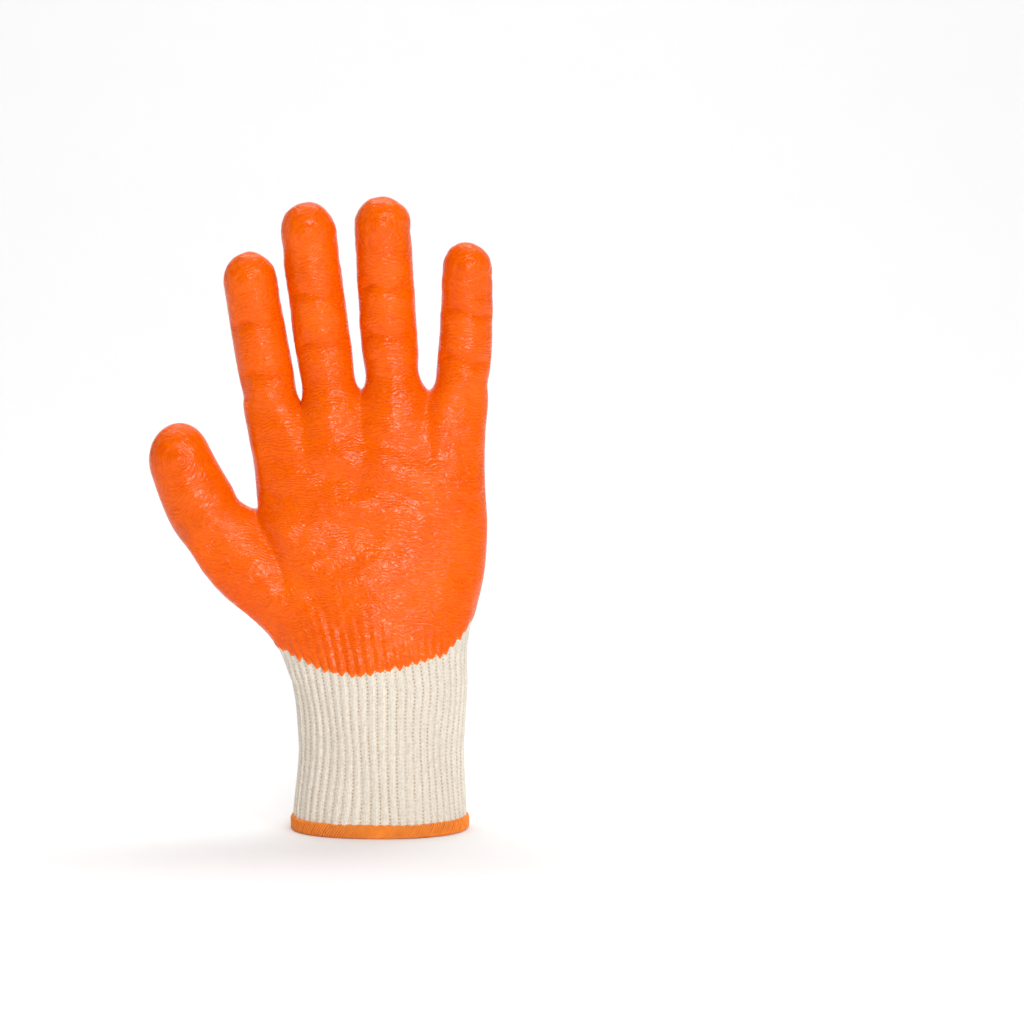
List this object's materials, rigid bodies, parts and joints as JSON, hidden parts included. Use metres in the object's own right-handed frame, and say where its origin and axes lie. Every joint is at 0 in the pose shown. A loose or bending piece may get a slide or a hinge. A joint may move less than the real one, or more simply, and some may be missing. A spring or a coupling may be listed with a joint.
{
  "type": "latex coated grip glove",
  "caption": "Left-hand knitted work glove in worn form, open at a ribbed cuff, with a crinkled latex coat on the palm, finger sides and fingertips.",
  "frame": {"origin": "centre of the cuff's mouth, in the plane of the hem's foot", "axes": "+Z from the cuff to the fingertips, -Y out of the coated palm, -X to the thumb"},
  "size_m": [0.1296, 0.0512, 0.2407],
  "materials": {
    "knit": "cream cotton and polyester plain knit, matt",
    "rib": "cream elastic rib knit, matt",
    "thread": "orange overlock thread, matt",
    "latex": "orange crinkled latex, satin"
  },
  "bodies": {
    "root": {"knit_shell": "knit", "rib_cuff": "rib", "overlock_hem": "thread", "latex_coat": "latex"}
  },
  "joints": []
}
